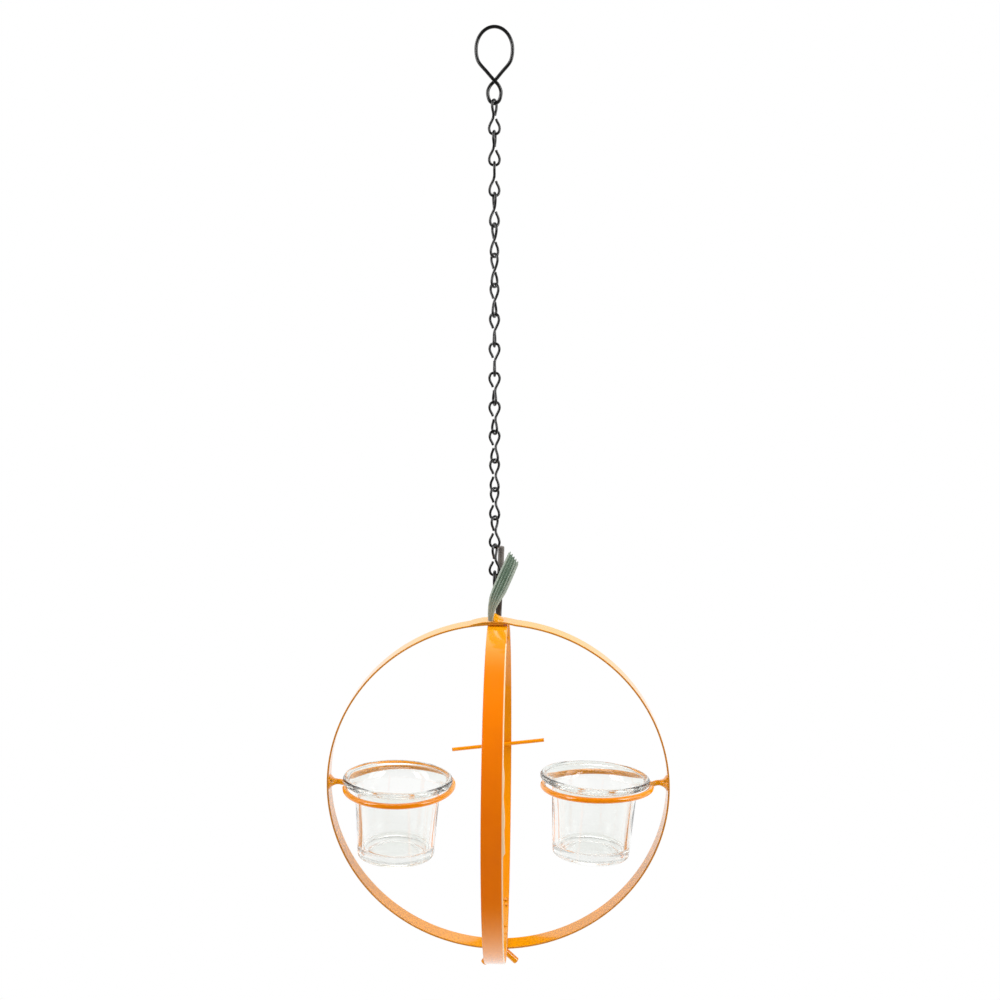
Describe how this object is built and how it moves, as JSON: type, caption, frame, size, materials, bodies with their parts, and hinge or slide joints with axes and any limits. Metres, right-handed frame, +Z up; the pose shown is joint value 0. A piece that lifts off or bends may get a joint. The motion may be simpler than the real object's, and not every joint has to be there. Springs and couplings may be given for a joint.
{
  "type": "hanging bird waterer",
  "caption": "Orange-fruit-shaped hanging bird waterer: crossed steel hoops with stem and leaf, glass cups that lift out of wire rings, perch rod, link chain and wire hook.",
  "frame": {"origin": "inside top of the hook's large loop, where the nail or branch touches it", "axes": "+Z up along the hanging chain, +X to the right cup in the plane of the side hoop, -Y to the front, along the cross hoop"},
  "size_m": [0.2199, 0.2166, 0.5933],
  "materials": {
    "orange_paint": "glossy orange powder coat on steel strip and wire",
    "black_wire": "satin black coated steel wire",
    "brown_paint": "satin grey-brown paint on a steel rod",
    "green_paint": "satin grey-green paint on ribbed sheet metal",
    "clear_glass": "clear pressed glass with rounded edges"
  },
  "bodies": {
    "hook": {"hanging_hook": "black_wire"},
    "link_01": {"chain_link_01": "black_wire"},
    "link_02": {"chain_link_02": "black_wire"},
    "link_03": {"chain_link_03": "black_wire"},
    "link_04": {"chain_link_04": "black_wire"},
    "link_05": {"chain_link_05": "black_wire"},
    "link_06": {"chain_link_06": "black_wire"},
    "link_07": {"chain_link_07": "black_wire"},
    "link_08": {"chain_link_08": "black_wire"},
    "link_09": {"chain_link_09": "black_wire"},
    "link_10": {"chain_link_10": "black_wire"},
    "link_11": {"chain_link_11": "black_wire"},
    "link_12": {"chain_link_12": "black_wire"},
    "link_13": {"chain_link_13": "black_wire"},
    "link_14": {"chain_link_14": "black_wire"},
    "link_15": {"chain_link_15": "black_wire"},
    "link_16": {"chain_link_16": "black_wire"},
    "globe": {"side_hoop": "orange_paint", "cross_hoop": "orange_paint", "stem": "brown_paint", "stem_eye": "black_wire", "leaf": "green_paint", "top_weld": "orange_paint", "left_cup_ring": "orange_paint", "right_cup_ring": "orange_paint", "left_arm_weld": "orange_paint", "right_arm_weld": "orange_paint", "perch_rod": "orange_paint", "bottom_fork": "orange_paint"},
    "left_cup": {"left_glass_cup": "clear_glass"},
    "right_cup": {"right_glass_cup": "clear_glass"}
  },
  "joints": [
    {"name": "link_01_swing", "type": "hinge", "parent": "hook", "child": "link_01", "pos_m": [0, 0, -0.0422], "axis": [1, 0, 0], "range_deg": [-60, 60]},
    {"name": "link_02_swing", "type": "hinge", "parent": "link_01", "child": "link_02", "pos_m": [0, 0, -0.05975], "axis": [-1, 0, 0], "range_deg": [-60, 60]},
    {"name": "link_03_swing", "type": "hinge", "parent": "link_02", "child": "link_03", "pos_m": [0, 0, -0.07755], "axis": [0.9781, 0.2079, 0], "range_deg": [-60, 60]},
    {"name": "link_04_swing", "type": "hinge", "parent": "link_03", "child": "link_04", "pos_m": [0, 0, -0.09535], "axis": [-0.9135, -0.4067, 0], "range_deg": [-60, 60]},
    {"name": "link_05_swing", "type": "hinge", "parent": "link_04", "child": "link_05", "pos_m": [0, 0, -0.11315], "axis": [0.809, 0.5878, 0], "range_deg": [-60, 60]},
    {"name": "link_06_swing", "type": "hinge", "parent": "link_05", "child": "link_06", "pos_m": [0, 0, -0.13095], "axis": [-0.6691, -0.7431, 0], "range_deg": [-60, 60]},
    {"name": "link_07_swing", "type": "hinge", "parent": "link_06", "child": "link_07", "pos_m": [0, 0, -0.14875], "axis": [0.5, 0.866, 0], "range_deg": [-60, 60]},
    {"name": "link_08_swing", "type": "hinge", "parent": "link_07", "child": "link_08", "pos_m": [0, 0, -0.16655], "axis": [-0.309, -0.9511, 0], "range_deg": [-60, 60]},
    {"name": "link_09_swing", "type": "hinge", "parent": "link_08", "child": "link_09", "pos_m": [0, 0, -0.18435], "axis": [0.1045, 0.9945, 0], "range_deg": [-60, 60]},
    {"name": "link_10_swing", "type": "hinge", "parent": "link_09", "child": "link_10", "pos_m": [0, 0, -0.20215], "axis": [0.1045, -0.9945, 0], "range_deg": [-60, 60]},
    {"name": "link_11_swing", "type": "hinge", "parent": "link_10", "child": "link_11", "pos_m": [0, 0, -0.21995], "axis": [-0.309, 0.9511, 0], "range_deg": [-60, 60]},
    {"name": "link_12_swing", "type": "hinge", "parent": "link_11", "child": "link_12", "pos_m": [0, 0, -0.23775], "axis": [0.5, -0.866, 0], "range_deg": [-60, 60]},
    {"name": "link_13_swing", "type": "hinge", "parent": "link_12", "child": "link_13", "pos_m": [0, 0, -0.25555], "axis": [-0.6691, 0.7431, 0], "range_deg": [-60, 60]},
    {"name": "link_14_swing", "type": "hinge", "parent": "link_13", "child": "link_14", "pos_m": [0, 0, -0.27335], "axis": [0.809, -0.5878, 0], "range_deg": [-60, 60]},
    {"name": "link_15_swing", "type": "hinge", "parent": "link_14", "child": "link_15", "pos_m": [0, 0, -0.29115], "axis": [-0.9135, 0.4067, 0], "range_deg": [-60, 60]},
    {"name": "link_16_swing", "type": "hinge", "parent": "link_15", "child": "link_16", "pos_m": [0, 0, -0.30895], "axis": [0.9781, -0.2079, 0], "range_deg": [-60, 60]},
    {"name": "globe_swing", "type": "hinge", "parent": "link_16", "child": "globe", "pos_m": [0, 0, -0.32465], "axis": [0, 1, 0], "range_deg": [-30, 30]},
    {"name": "left_cup_lift", "type": "slide", "parent": "globe", "child": "left_cup", "axis": [0, 0, 1], "range_m": [0, 0.03]},
    {"name": "right_cup_lift", "type": "slide", "parent": "globe", "child": "right_cup", "axis": [0, 0, 1], "range_m": [0, 0.03]}
  ]
}
